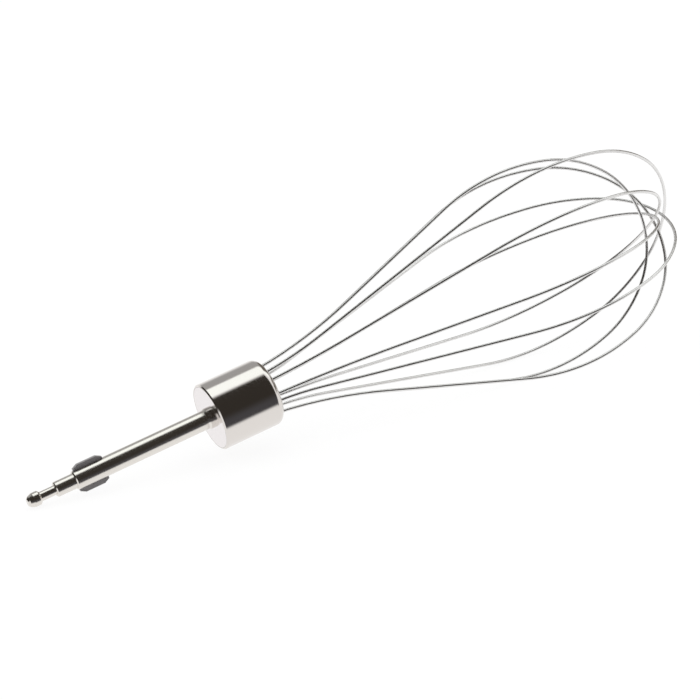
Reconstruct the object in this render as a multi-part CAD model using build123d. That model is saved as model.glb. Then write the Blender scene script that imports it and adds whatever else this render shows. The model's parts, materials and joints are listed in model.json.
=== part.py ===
from build123d import *
import os
from math import asin, atan2, cos, degrees, hypot, pi, radians, sin, sqrt
from typing import NamedTuple

# Whisk attachment of a hand-held mixer: a turned drive shaft with two wings, a ferrule and six wire loops.
# Millimetres and degrees. Each piece is modelled on the whisk's own axis: +X runs from the shaft to the
# wires, and X = 0 is the face of the ferrule that the wires leave. The whole is then laid down at rest.

# Drive shaft, from its free end to the ferrule
shaft_d = 6.0
shaft_reach = 62.3          # free end to the ferrule's rear face
knob_d = 4.5
knob_len = 4.15
knob_flat_d = 2.4           # flat at the free end
knob_bevel_d = 3.5          # where the bevel round that flat ends
knob_bevel_len = 0.6
knob_taper_len = 1.3        # from that bevel to the knob's full diameter
knob_shoulder = 0.5         # chamfer on the side of the neck
neck_d = 3.0
neck_len = 5.0
pilot_d = 4.8
pilot_len = 6.5
step_chamfer = 0.3          # at the front of the pilot and of the main shaft
collar_d = 6.7
collar_t = 1.8
collar_taper = 0.7          # length of the collar's sloping end
spigot_len = 15.0           # shaft that runs on inside the ferrule, from its rear face

# Drive key: a plate through the shaft whose ends are the two wings
key_span = 9.1
key_len = 9.7
key_t = 1.2
key_corner_len = 1.7        # outer corners cut off, along the shaft
key_corner_depth = 0.9      # and across it
key_setback = 0.6           # from the shaft's step to the plate
key_turn = 20.0             # of the plate about the shaft

# Ferrule
ferrule_d = 21.6
ferrule_len = 20.85
ferrule_wall = 0.7
ferrule_floor = 1.6         # thickness of the face that the wires leave
ferrule_round = 2.4         # outer edge of that face
rim_chamfer = 0.4           # outer edge of the rear face
cap_t = 1.2
fit_gap = 0.05              # clearance round each piece that is pushed into another

# Wire loops: the profile that all six share
wire_d = 1.0
wire_sides = 6              # flats that the round wire is drawn with
leg_len = 14.0              # straight end inside the core
root_r = 7.7                # circle on which the wires leave the ferrule
root_angle = 6.3            # the legs spread by this much
flare_angle = 19.0          # spread of the straight run
flare_bend_r = 126.0        # between the ferrule and the straight run
tip_bend_r = 30.0
tip_bend_angle = 43.0       # each side of the tip
shoulder_bend_r = 40.5
shoulder_bend_angle = 31.0
side_bend_r = 69.5


class Loop(NamedTuple):
    """How one hand-bent loop is set in the ferrule."""
    turn: float             # about the whisk's axis
    lean: float             # sideways, out of its own plane
    tilt: float             # within its own plane
    flare: float            # size of its flare bend
    size: float             # of its bends from the side to the tip


loops = [
    Loop(13.8, 0.3, -0.3, 1.25, 0.964),
    Loop(45.7, -1.2, -0.8, 0.738, 1.074),
    Loop(70.8, 1.2, 2.0, 0.99, 1.0),
    Loop(105.9, -0.1, 0.1, 1.43, 0.965),
    Loop(124.1, 0.6, -0.5, 0.486, 1.056),
    Loop(167.1, 0.7, 1.1, 1.27, 0.99),
]
carriers = (loops[0], loops[1])     # the whisk lies on one wire of each and on its knob
rest_samples = 400          # places looked at along each of them
rest_steps = 40
quarter_turn = 90.0

# Places along the axis
rear_x = -ferrule_len
tip_x = rear_x - shaft_reach
knob_rim_x = tip_x + knob_bevel_len + knob_taper_len
knob_end_x = tip_x + knob_len
pilot_x = knob_end_x + neck_len
step_x = pilot_x + pilot_len
key_x = step_x + key_setback
key_placement = Pos(key_x + key_len / 2, 0, 0) * Rot(key_turn, 0, 0)
core_rear_x = rear_x + cap_t
core_front_x = -ferrule_floor - fit_gap

# Radii
shaft_r = shaft_d / 2
knob_r = knob_d / 2
knob_flat_r = knob_flat_d / 2
knob_bevel_r = knob_bevel_d / 2
neck_r = neck_d / 2
pilot_r = pilot_d / 2
collar_r = collar_d / 2
ferrule_r = ferrule_d / 2
cup_bore_r = ferrule_r - ferrule_wall
plug_r = cup_bore_r - fit_gap
wire_r = wire_d / 2
wire_corner_r = wire_r * sqrt(2 * pi / (wire_sides * sin(2 * pi / wire_sides)))   # keeps the wire's area


def turned(*outline):
    """Solid of revolution about the axis, from points (x, radius) in order along it."""
    (first_x, _), (last_x, _) = outline[0], outline[-1]
    section = make_face(Polyline((first_x, 0), *outline, (last_x, 0), close=True))
    return revolve(section, Axis.X)


def drive_shaft():
    shaft = turned(
        (tip_x, knob_flat_r),
        (tip_x + knob_bevel_len, knob_bevel_r),
        (knob_rim_x, knob_r),
        (knob_end_x - knob_shoulder, knob_r),
        (knob_end_x, knob_r - knob_shoulder),
        (knob_end_x, neck_r),
        (pilot_x, neck_r),
        (pilot_x, pilot_r - step_chamfer),
        (pilot_x + step_chamfer, pilot_r),
        (step_x, pilot_r),
        (step_x, shaft_r - step_chamfer),
        (step_x + step_chamfer, shaft_r),
        (rear_x - collar_t, shaft_r),
        (rear_x - collar_t + collar_taper, collar_r),
        (rear_x, collar_r),
        (rear_x, shaft_r),
        (rear_x + spigot_len, shaft_r),
    )
    slot = Box(key_len + 2 * fit_gap, key_span, key_t + 2 * fit_gap)
    return shaft - key_placement * slot


def drive_key():
    end, side = key_len / 2, key_span / 2
    corner = [(end, side - key_corner_depth), (end - key_corner_len, side)]
    upper = corner + [(-x, y) for x, y in reversed(corner)]
    lower = [(-x, -y) for x, y in upper]
    plate = extrude(make_face(Polyline(*upper, *lower, close=True)), key_t / 2, both=True)
    return key_placement * plate


def bends(loop):
    """Radii and angles from a loop's side to its tip, each scaled to the loop's size."""
    side_bend_angle = quarter_turn + flare_angle - tip_bend_angle - shoulder_bend_angle
    return [
        (side_bend_r * loop.size, side_bend_angle),
        (shoulder_bend_r * loop.size, shoulder_bend_angle),
        (tip_bend_r * loop.size, tip_bend_angle),
    ]


def straight_run(loop):
    """Length of the run between a loop's flare and its side that brings the tip onto the loop's axis."""
    inward = 0.0
    heading = flare_angle
    for radius, angle in bends(loop):
        after = heading - angle
        inward += radius * (cos(radians(heading)) - cos(radians(after)))
        heading = after
    flared = flare_bend_r * loop.flare * (cos(radians(root_angle)) - cos(radians(flare_angle)))
    return (inward - root_r - flared) / sin(radians(flare_angle))


def loop_placement(loop):
    return Rot(loop.turn, 0, 0) * Rot(0, -loop.lean, 0) * Rot(0, 0, loop.tilt)


def loop_line(loop):
    """Centre line of a loop in its own plane: leg, flare, run and bends to the tip, then its mirror."""
    spread = Vector(cos(radians(root_angle)), sin(radians(root_angle)))
    root = Vector(0, root_r)
    edges = [Line(root - spread * leg_len, root)]
    edges.append(JernArc(root, spread, flare_bend_r * loop.flare, flare_angle - root_angle))
    end = edges[-1] @ 1
    edges.append(Line(end, end + (edges[-1] % 1) * straight_run(loop)))
    for radius, angle in bends(loop):
        edges.append(JernArc(edges[-1] @ 1, edges[-1] % 1, radius, -angle))
    mirrored = [edge.mirror(Plane.XZ) for edge in edges]
    return Wire(edges + mirrored)


def wire_section(start, along, radius):
    """Section across a wire, with two of its flats parallel to the loop's plane."""
    across = Plane(start, x_dir=(0, 0, 1), z_dir=along)
    return across * RegularPolygon(radius, wire_sides, rotation=180 / wire_sides)


def wire_loop(loop):
    line = loop_line(loop)
    return loop_placement(loop) * sweep(wire_section(line @ 0, line % 0, wire_corner_r), line)


def leg_bores():
    """Straight holes for the twelve wire ends, from the ends of the legs out through the ferrule's face."""
    depth = leg_len + fit_gap
    bores = []
    for loop in loops:
        for side in (1, -1):
            spread = Vector(cos(radians(root_angle)), side * sin(radians(root_angle)))
            end = Vector(0, side * root_r) - spread * depth
            bore = extrude(wire_section(end, spread, wire_corner_r + fit_gap), 2 * depth)
            bores.append(loop_placement(loop) * bore)
    return bores


def ferrule_cup(bores):
    outside = turned((rear_x, ferrule_r - rim_chamfer), (rear_x + rim_chamfer, ferrule_r), (0, ferrule_r))
    outside = fillet(outside.edges().sort_by(Axis.X)[-1], ferrule_round)
    inside = turned((rear_x, cup_bore_r), (-ferrule_floor, cup_bore_r))
    return outside - inside - bores


def rear_cap():
    disc = turned((rear_x, plug_r), (rear_x + cap_t, plug_r))
    return disc - turned((rear_x, shaft_r + fit_gap), (rear_x + cap_t, shaft_r + fit_gap))


def wire_core(bores):
    plug = turned((core_rear_x, plug_r), (core_front_x, plug_r))
    spigot_hole = turned(
        (core_rear_x, shaft_r + fit_gap),
        (rear_x + spigot_len + fit_gap, shaft_r + fit_gap),
    )
    return plug - spigot_hole - bores


def resting_pitch(points, roll):
    """Pitch at which a wire touches the floor while the knob's rim does too."""
    pitches = []
    for point in points:
        ahead = point.X - knob_rim_x
        height = point.Y * sin(radians(roll)) + point.Z * cos(radians(roll)) + knob_r
        pitches.append(asin(wire_corner_r / hypot(ahead, height)) - atan2(height, ahead))
    return degrees(max(pitches))


def resting_pose():
    """Roll and pitch that lay the knob and both carrying wires on one floor."""
    places = [i / rest_samples for i in range(rest_samples + 1)]
    first, second = ((loop_placement(loop) * loop_line(loop)).positions(places) for loop in carriers)
    low, high = quarter_turn - carriers[1].turn, quarter_turn - carriers[0].turn
    for _ in range(rest_steps):
        roll = (low + high) / 2
        if resting_pitch(first, roll) > resting_pitch(second, roll):
            high = roll
        else:
            low = roll
    return roll, resting_pitch(first, roll)


def laid_down(pieces):
    """The pieces at rest on Z = 0, with the origin under the middle of their box."""
    roll, pitch = resting_pose()
    lie = Rot(0, -pitch, 0) * Rot(roll, 0, 0)
    lying = {name: lie * piece for name, piece in pieces.items()}
    boxes = [piece.bounding_box() for piece in lying.values()]
    middle_x = (min(box.min.X for box in boxes) + max(box.max.X for box in boxes)) / 2
    middle_y = (min(box.min.Y for box in boxes) + max(box.max.Y for box in boxes)) / 2
    floor_z = knob_rim_x * sin(radians(pitch)) - knob_r * cos(radians(pitch))
    to_floor = Pos(-middle_x, -middle_y, -floor_z)
    return {name: to_floor * piece for name, piece in lying.items()}


bores = leg_bores()
pieces = {
    "drive_shaft": drive_shaft(),
    "drive_key": drive_key(),
    "ferrule_cup": ferrule_cup(bores),
    "rear_cap": rear_cap(),
    "wire_core": wire_core(bores),
}
for number, loop in enumerate(loops, 1):
    pieces[f"wire_loop_{number}"] = wire_loop(loop)

os.makedirs("parts", exist_ok=True)
for name, piece in laid_down(pieces).items():
    export_step(piece, f"parts/{name}.step")
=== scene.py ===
import json
from math import asin, atan2, cos, degrees, radians, sin, tau
from typing import NamedTuple

import bpy
from mathutils import Matrix, Vector


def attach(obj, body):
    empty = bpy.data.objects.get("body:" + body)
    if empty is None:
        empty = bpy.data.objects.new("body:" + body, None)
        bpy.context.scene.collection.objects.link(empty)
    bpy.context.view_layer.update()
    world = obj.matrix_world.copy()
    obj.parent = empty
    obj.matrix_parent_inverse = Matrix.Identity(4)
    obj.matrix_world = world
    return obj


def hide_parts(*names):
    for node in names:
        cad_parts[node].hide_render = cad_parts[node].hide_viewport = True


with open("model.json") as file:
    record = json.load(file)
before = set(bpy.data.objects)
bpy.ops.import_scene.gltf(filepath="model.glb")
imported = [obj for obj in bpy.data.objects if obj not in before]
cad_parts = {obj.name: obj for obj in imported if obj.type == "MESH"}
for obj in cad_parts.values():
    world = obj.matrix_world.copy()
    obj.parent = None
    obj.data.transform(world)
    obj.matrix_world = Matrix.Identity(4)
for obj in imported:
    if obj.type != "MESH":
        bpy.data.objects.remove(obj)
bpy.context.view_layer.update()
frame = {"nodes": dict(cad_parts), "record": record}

MM = 0.001
QUARTER_TURN = 90.0

# The whisk's own axes: along its shaft towards the wires, across it and upward, and towards the camera's side
PILOT_MIDDLE = -70.6 * MM           # along the shaft from the face of the ferrule that the wires leave
FERRULE_LENGTH = 20.85 * MM
WINGS_TURN = 20.0                   # degrees from upward to the drive wings, about the shaft
mounts = {mount["name"]: mount for mount in frame["record"]["mounts"]}
along = -Vector(mounts["pilot_pin"]["axis"])
wings = Vector(mounts["drive_wings"]["axis"])
upward = Matrix.Rotation(radians(-WINGS_TURN), 3, along) @ wings
near = along.cross(upward)
face_centre = Vector(mounts["pilot_pin"]["pos_m"]) - along * PILOT_MIDDLE
rear_centre = face_centre - along * FERRULE_LENGTH
whisk = Matrix((along, upward, near)).transposed().to_4x4()
whisk.translation = face_centre

# Wire loops, in millimetres and degrees
WIRE_RADIUS = 0.5
WIRE_SIDES = 20
BEND_STEP = 1.5                     # of bend between two rings of a tube
LEG_LENGTH = 14.0                   # straight end inside the ferrule
ROOT_RADIUS = 7.7                   # circle on which the wires leave the ferrule
ROOT_ANGLE = 6.3                    # the legs spread by this much
FLARE_ANGLE = 19.0                  # spread of the straight run
FLARE_BEND_RADIUS = 126.0
SIDE_BEND_RADIUS = 69.5
SHOULDER_BEND_RADIUS = 40.5
SHOULDER_BEND_ANGLE = 31.0
TIP_BEND_RADIUS = 30.0
TIP_BEND_ANGLE = 43.0               # each side of the tip


class Loop(NamedTuple):
    """How one hand-bent loop is set in the ferrule."""
    turn: float                     # about the whisk's axis
    lean: float                     # sideways, out of its own plane
    tilt: float                     # within its own plane
    flare: float                    # size of its flare bend
    size: float                     # of its bends from the side to the tip


LOOPS = [
    Loop(13.8, 0.3, -0.3, 1.25, 0.964),
    Loop(45.7, -1.2, -0.8, 0.738, 1.074),
    Loop(70.8, 1.2, 2.0, 0.99, 1.0),
    Loop(105.9, -0.1, 0.1, 1.43, 0.965),
    Loop(124.1, 0.6, -0.5, 0.486, 1.056),
    Loop(167.1, 0.7, 1.1, 1.27, 0.99),
]


class Finish(NamedTuple):
    """Colour of a material, and the fine marks that its making left in it."""
    name: str
    color: tuple
    metallic: float
    smooth: float                   # roughness between the marks
    rough: float                    # and on them
    relief: float                   # height of the marks, in millimetres


# Marks a millimetre: along the whisk's axis, and across it both ways
TURNED = (4.0, 0.08, 0.08)
GROUND = (0.6, 6.0, 6.0)
PRESSED = (1.0, 1.5, 1.5)
MOULDED = (1.0, 1.0, 1.0)
DRAWN_ROUND = 2.0                   # how closely the lines that drawing leaves lie round a wire
DRAWN_LENGTH = 6.0                  # and about how many millimetres one is long
DRAWN_PLACE = "drawn"               # attribute that holds the place of each point among them
MARK_DETAIL = 4.0
MARK_NOISE = (0.3, 0.7)             # range that the noise behind the marks seldom leaves

NODE_FINISHES = {
    # Steel colour of the shaft, painted lighter than the ferrule's polished steel: painted reflection of the
    # brighter things the shaft mirrors
    "drive_shaft": (Finish("shaft_steel_painted_bright", (0.77, 0.735, 0.69), 1.0, 0.18, 0.24, 0.0003), TURNED),
    "drive_key": (Finish("key_steel", (0.58, 0.56, 0.56), 1.0, 0.38, 0.5, 0.002), GROUND),
    "ferrule_cup": (Finish("polished_steel", (0.735, 0.697, 0.665), 1.0, 0.09, 0.15, 0.0004), TURNED),
    # Steel colour of the rear cap, painted lighter and pinker than the ferrule's polished steel: painted
    # reflection, so that the rear face mirrors brighter
    "rear_cap": (Finish("cap_steel", (0.84, 0.80, 0.80), 1.0, 0.12, 0.2, 0.0004), PRESSED),
    "wire_core": (Finish("core_plastic", (0.6, 0.6, 0.6), 0.0, 0.42, 0.58, 0.002), MOULDED),
}
# Steel colour of the wires, painted lighter than the ferrule's polished steel: painted reflection, so that
# the wires show lighter
WIRE_FINISH = Finish("wire_steel", (0.83, 0.82, 0.81), 1.0, 0.27, 0.37, 0.002)

# Camera, set by where the ferrule's rear face and the whisk's axis lie in the picture
PICTURE = 700                       # pixels each way
REAR_PIXEL = (210.03, 417.6)
PIXELS_PER_MM = 3.27                # at the ferrule's rear face
FOCAL_PIXELS = 2500.0
SENSOR = 36.0
VIEW_TURN = 20.03                   # the axis runs away from the camera by this much
VIEW_ROLL = 25.0                    # and rises in the picture by this much

# Painted reflections: a glowing sphere that only the steel's reflections show and that lights nothing,
# painted as a light tent of white cloth all round with a bright lamp band above it, open on the camera's side
# to a dark room.
# In degrees, each change of light runs from one angle to the next. Turn is from straight in front towards
# the shaft's free end, lean is towards the wires, height is above level, and over is from straight in front
# over the top.
TENT_RADIUS = 3.0
TENT_RINGS = 120
OPENING_TURN = (-50, -36, 108, 124)
OPENING_HEIGHT = (-35, -24, 71, 82)
ROOM_HEIGHT = (-14, 14)             # where the room darkens upward
WALL_LEAN = (24, 34)                # dark wall past the shaft's free end
WALL_HEIGHT = (-24, -12)
WALL_END_LEAN = (46, 56)            # where that wall is white again, low down
WALL_END_HEIGHT = (-4, 8)
LAMP_OVER = (77, 86, 113, 121)
SHADE_OVER = (113, 121, 150, 175)   # grey cloth behind the lamp
CORNER_TURN = (100, 114)            # the other way, to a dark corner behind on the wires' side
CORNER_LEAN = (25, 33)
CORNER_HEIGHT = (-8, 6)
END_LEAN = (56, 62)                 # dark end beside that corner, past the wires
END_HEIGHT = (3, 11)
# Painted reflection glow of the tent's parts: white cloth, dark room low and high, bright lamp band, grey
# shade and dark corners
CLOTH_REFLECTION = Vector((1.0, 1.0, 1.0))
ROOM_REFLECTION_LOW = Vector((0.072, 0.070, 0.076))
ROOM_REFLECTION_HIGH = Vector((0.038, 0.033, 0.028))
LAMP_REFLECTION = Vector((1.30, 1.36, 1.34))
SHADE_REFLECTION = Vector((0.43, 0.43, 0.43))
CORNER_REFLECTION = Vector((0.16, 0.14, 0.12))

# Floor, in metres: it glows nearly white, and the light that falls on it makes up the rest
FLOOR_SIZE = 6.0
FLOOR_LEVEL = -0.0002
FLOOR_GLOW = 0.86
FLOOR_COLOR = (0.16, 0.16, 0.16, 1.0)
WHITE = (1.0, 1.0, 1.0, 1.0)


def finished(finish):
    """Material with that finish, and the input at which its marks take their places."""
    material = bpy.data.materials.new(finish.name)
    material.use_nodes = True
    tree = material.node_tree
    shader = tree.nodes["Principled BSDF"]
    shader.inputs["Base Color"].default_value = (*finish.color, 1.0)
    shader.inputs["Metallic"].default_value = finish.metallic
    shader.inputs["Roughness"].default_value = (finish.smooth + finish.rough) / 2
    noise = tree.nodes.new("ShaderNodeTexNoise")
    noise.inputs["Scale"].default_value = 1.0
    noise.inputs["Detail"].default_value = MARK_DETAIL
    roughness = tree.nodes.new("ShaderNodeMapRange")
    roughness.inputs["From Min"].default_value = MARK_NOISE[0]
    roughness.inputs["From Max"].default_value = MARK_NOISE[1]
    roughness.inputs["To Min"].default_value = finish.smooth
    roughness.inputs["To Max"].default_value = finish.rough
    tree.links.new(noise.outputs["Fac"], roughness.inputs["Value"])
    tree.links.new(roughness.outputs[0], shader.inputs["Roughness"])
    bump = tree.nodes.new("ShaderNodeBump")
    bump.inputs["Strength"].default_value = 1.0
    bump.inputs["Distance"].default_value = finish.relief * MM
    tree.links.new(noise.outputs["Fac"], bump.inputs["Height"])
    tree.links.new(bump.outputs[0], shader.inputs["Normal"])
    return material, noise.inputs["Vector"]


def node_material(finish, pace):
    """Finish whose marks follow the whisk's own axes at that pace, in marks a millimetre."""
    material, place = finished(finish)
    tree = material.node_tree
    where = tree.nodes.new("ShaderNodeTexCoord")
    own = tree.nodes.new("ShaderNodeMapping")
    own.vector_type = "TEXTURE"
    own.inputs["Location"].default_value = face_centre
    own.inputs["Rotation"].default_value = whisk.to_euler()
    tree.links.new(where.outputs["Object"], own.inputs["Vector"])
    stretch = tree.nodes.new("ShaderNodeVectorMath")
    stretch.operation = "MULTIPLY"
    stretch.inputs[1].default_value = [rate / MM for rate in pace]
    tree.links.new(own.outputs[0], stretch.inputs[0])
    tree.links.new(stretch.outputs[0], place)
    return material


def wire_material():
    """Finish whose marks run along each wire."""
    material, place = finished(WIRE_FINISH)
    where = material.node_tree.nodes.new("ShaderNodeAttribute")
    where.attribute_name = DRAWN_PLACE
    material.node_tree.links.new(where.outputs["Vector"], place)
    return material


def paint(piece, material):
    piece.data.materials.clear()
    piece.data.materials.append(material)


def loop_bends(loop):
    """Radii and angles of a half loop from its side to its tip."""
    side_angle = QUARTER_TURN + FLARE_ANGLE - SHOULDER_BEND_ANGLE - TIP_BEND_ANGLE
    return [
        (SIDE_BEND_RADIUS * loop.size, -side_angle),
        (SHOULDER_BEND_RADIUS * loop.size, -SHOULDER_BEND_ANGLE),
        (TIP_BEND_RADIUS * loop.size, -TIP_BEND_ANGLE),
    ]


def bend_steps(heading, bends):
    """Lengths and headings of the short chords that follow bends one after another."""
    for radius, angle in bends:
        count = max(1, round(abs(angle) / BEND_STEP))
        step = angle / count
        chord = 2 * radius * sin(radians(abs(step)) / 2)
        for _ in range(count):
            yield chord, heading + step / 2
            heading += step


def half_loop(loop):
    """Centre line of half a loop in its own plane, from the end of its leg to its tip."""
    flare = [(FLARE_BEND_RADIUS * loop.flare, FLARE_ANGLE - ROOT_ANGLE)]
    before = list(bend_steps(ROOT_ANGLE, flare))
    after = list(bend_steps(FLARE_ANGLE, loop_bends(loop)))
    spread = ROOT_RADIUS + sum(chord * sin(radians(heading)) for chord, heading in before + after)
    run = -spread / sin(radians(FLARE_ANGLE))
    root = Vector((0, ROOT_RADIUS, 0))
    leg = Vector((cos(radians(ROOT_ANGLE)), sin(radians(ROOT_ANGLE)), 0)) * LEG_LENGTH
    points = [root - leg, root]
    for chord, heading in before + [(run, FLARE_ANGLE)] + after:
        points.append(points[-1] + Vector((cos(radians(heading)), sin(radians(heading)), 0)) * chord)
    return points


def loop_points(loop):
    """Centre line of a loop where it lies, in metres, and the normal of its plane."""
    half = half_loop(loop)
    mirrored = [Vector((point.x, -point.y, 0)) for point in reversed(half[:-1])]
    turn = Matrix.Rotation(radians(loop.turn), 4, "X")
    lean = Matrix.Rotation(radians(-loop.lean), 4, "Y")
    tilt = Matrix.Rotation(radians(loop.tilt), 4, "Z")
    place = whisk @ Matrix.Scale(MM, 4) @ turn @ lean @ tilt
    normal = (place.to_3x3() @ Vector((0, 0, 1))).normalized()
    return [place @ point for point in half + mirrored], normal


def tube(name, points, normal, radius):
    """Round closed tube along points that lie in a plane with that normal."""
    vertices = []
    faces = []
    angles = [tau * k / WIRE_SIDES for k in range(WIRE_SIDES)]
    for i, point in enumerate(points):
        ahead = (points[min(i + 1, len(points) - 1)] - points[max(i - 1, 0)]).normalized()
        across = normal.cross(ahead)
        for angle in angles:
            vertices.append(point + (across * cos(angle) + normal * sin(angle)) * radius)
    for i in range(len(points) - 1):
        for k in range(WIRE_SIDES):
            a = i * WIRE_SIDES + k
            b = i * WIRE_SIDES + (k + 1) % WIRE_SIDES
            faces.append((a, b, b + WIRE_SIDES, a + WIRE_SIDES))
    last = (len(points) - 1) * WIRE_SIDES
    faces.append(tuple(reversed(range(WIRE_SIDES))))
    faces.append(tuple(last + k for k in range(WIRE_SIDES)))
    mesh = bpy.data.meshes.new(name)
    mesh.from_pydata(vertices, [], faces)
    drawn = mesh.attributes.new(DRAWN_PLACE, "FLOAT_VECTOR", "POINT")
    for i, vertex in enumerate(mesh.vertices):
        angle = angles[i % WIRE_SIDES]
        lines = vertex.co.x / (DRAWN_LENGTH * MM)
        drawn.data[i].vector = (DRAWN_ROUND * cos(angle), DRAWN_ROUND * sin(angle), lines)
    for face in mesh.polygons:
        face.use_smooth = len(face.vertices) != WIRE_SIDES
    piece = bpy.data.objects.new(name, mesh)
    bpy.context.scene.collection.objects.link(piece)
    return piece


def make_wires():
    material = wire_material()
    for number, loop in enumerate(LOOPS, 1):
        points, normal = loop_points(loop)
        wire = tube(f"round_wire_{number}", points, normal, WIRE_RADIUS * MM)
        paint(wire, material)
        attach(wire, "root")
        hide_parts(f"wire_loop_{number}")


def make_camera():
    """Camera from which the ferrule's rear face and the axis fall where the picture has them."""
    turn = radians(VIEW_TURN)
    roll = radians(VIEW_ROLL)
    level = along * cos(turn) + near * sin(turn)
    right = level * cos(roll) - upward * sin(roll)
    top = level * sin(roll) + upward * cos(roll)
    back = near * cos(turn) - along * sin(turn)
    pixel = MM / PIXELS_PER_MM
    middle = PICTURE / 2
    x, y = REAR_PIXEL
    data = bpy.data.cameras.new("camera")
    data.sensor_width = SENSOR
    data.lens = SENSOR * FOCAL_PIXELS / PICTURE
    camera = bpy.data.objects.new("camera", data)
    camera.matrix_world = Matrix((right, top, back)).transposed().to_4x4()
    camera.location = rear_centre + (right * (middle - x) + top * (y - middle) + back * FOCAL_PIXELS) * pixel
    bpy.context.scene.collection.objects.link(camera)
    bpy.context.scene.camera = camera


def rise(value, start, end):
    """Smooth step from 0 at start to 1 at end."""
    share = min(max((value - start) / (end - start), 0.0), 1.0)
    return share * share * (3 - 2 * share)


def band(value, edges):
    """Smooth step up over the first two edges, and down again over the last two."""
    return rise(value, edges[0], edges[1]) * (1 - rise(value, edges[2], edges[3]))


def blend(first, second, share):
    return first + (second - first) * share


def painted_reflection(direction):
    """Painted reflection: glow of the tent in that direction from the whisk, with its painted dark room,
    walls and corners.
    """
    over = degrees(atan2(direction.z, -direction.y))
    turn = degrees(atan2(-direction.x, -direction.y))
    height = degrees(asin(direction.z))
    lean = degrees(asin(direction.x))
    room = blend(ROOM_REFLECTION_LOW, ROOM_REFLECTION_HIGH, rise(height, *ROOM_HEIGHT))
    wall_end = rise(-lean, *WALL_END_LEAN) * (1 - rise(height, *WALL_END_HEIGHT))
    wall = rise(-lean, *WALL_LEAN) * rise(height, *WALL_HEIGHT) * (1 - wall_end)
    opening = band(turn, OPENING_TURN) * band(height, OPENING_HEIGHT) * (1 - wall_end)
    corner = rise(-turn, *CORNER_TURN) * rise(lean, *CORNER_LEAN) * rise(height, *CORNER_HEIGHT)
    end = rise(lean, *END_LEAN) * rise(height, *END_HEIGHT)
    reflection_glow = blend(CLOTH_REFLECTION, SHADE_REFLECTION, band(over, SHADE_OVER))
    reflection_glow = blend(reflection_glow, LAMP_REFLECTION, band(over, LAMP_OVER))
    reflection_glow = blend(reflection_glow, CORNER_REFLECTION, corner)
    reflection_glow = blend(reflection_glow, CORNER_REFLECTION, end)
    reflection_glow = blend(reflection_glow, room, opening)
    return blend(reflection_glow, room, wall)


def glow_material(name):
    """Material that glows, and its glow."""
    material = bpy.data.materials.new(name)
    material.use_nodes = True
    tree = material.node_tree
    tree.nodes.clear()
    glow = tree.nodes.new("ShaderNodeEmission")
    output = tree.nodes.new("ShaderNodeOutputMaterial")
    tree.links.new(glow.outputs[0], output.inputs["Surface"])
    return material, glow


def make_painted_reflections():
    """Painted reflections: the glowing tent that the steel mirrors. Only reflections show it, and it lights
    nothing.
    """
    bpy.ops.mesh.primitive_uv_sphere_add(segments=2 * TENT_RINGS, ring_count=TENT_RINGS, radius=TENT_RADIUS)
    painted_reflection_tent = bpy.context.object
    painted_reflection_tent.name = "painted_reflection_tent"
    reflection_glow = painted_reflection_tent.data.color_attributes.new("reflection_glow", "FLOAT_COLOR", "POINT")
    for vertex, value in zip(painted_reflection_tent.data.vertices, reflection_glow.data):
        value.color = (*painted_reflection(vertex.co.normalized()), 1.0)
    material, glow = glow_material("painted_reflection_tent")
    shown = material.node_tree.nodes.new("ShaderNodeAttribute")
    shown.attribute_name = reflection_glow.name
    material.node_tree.links.new(shown.outputs["Color"], glow.inputs["Color"])
    paint(painted_reflection_tent, material)
    painted_reflection_tent.visible_camera = False
    painted_reflection_tent.visible_diffuse = False
    painted_reflection_tent.visible_transmission = False
    painted_reflection_tent.visible_shadow = False


def make_world():
    world = bpy.data.worlds.new("white")
    world.use_nodes = True
    world.node_tree.nodes["Background"].inputs["Color"].default_value = WHITE
    bpy.context.scene.world = world


def make_floor():
    """Plain white floor that keeps the whisk's shadow. The steel mirrors the tent in its place."""
    bpy.ops.mesh.primitive_plane_add(size=FLOOR_SIZE, location=(0, 0, FLOOR_LEVEL))
    floor = bpy.context.object
    floor.name = "floor"
    material, glow = glow_material("floor")
    glow.inputs["Strength"].default_value = FLOOR_GLOW
    tree = material.node_tree
    diffuse = tree.nodes.new("ShaderNodeBsdfDiffuse")
    diffuse.inputs["Color"].default_value = FLOOR_COLOR
    both = tree.nodes.new("ShaderNodeAddShader")
    tree.links.new(diffuse.outputs[0], both.inputs[0])
    tree.links.new(glow.outputs[0], both.inputs[1])
    tree.links.new(both.outputs[0], tree.nodes["Material Output"].inputs["Surface"])
    paint(floor, material)
    floor.visible_glossy = False


for node, (finish, pace) in NODE_FINISHES.items():
    paint(frame["nodes"][node], node_material(finish, pace))
make_wires()
make_camera()
make_painted_reflections()
make_world()
make_floor()
bpy.context.scene.view_settings.view_transform = "Standard"
